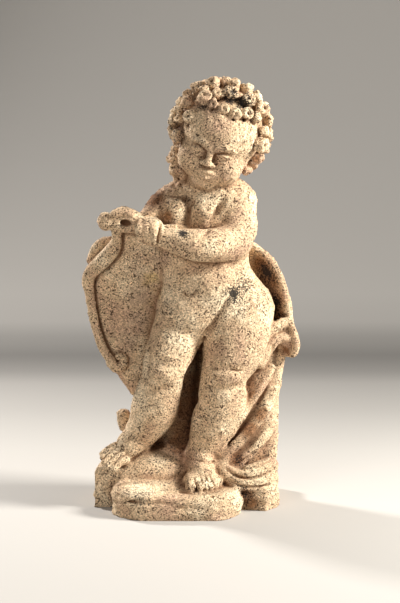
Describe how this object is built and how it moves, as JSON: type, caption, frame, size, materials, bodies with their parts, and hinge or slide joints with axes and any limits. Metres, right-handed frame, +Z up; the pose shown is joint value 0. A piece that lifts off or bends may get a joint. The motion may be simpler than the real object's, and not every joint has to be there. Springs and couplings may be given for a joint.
{
  "type": "sandstone putto statue",
  "caption": "Standing stone child with curled hair, holding a scrolled shield beside it, with a cloth behind the hips, on a low rocky base.",
  "frame": {"origin": "middle of the bounding box on the underside of the base", "axes": "+Z up, -Y the way the child faces, +X towards the child's left hand side"},
  "size_m": [0.438, 0.2698, 0.8507],
  "materials": {
    "sandstone": "rough, weathered"
  },
  "bodies": {
    "root": {"putto_statue": "sandstone"}
  },
  "joints": []
}
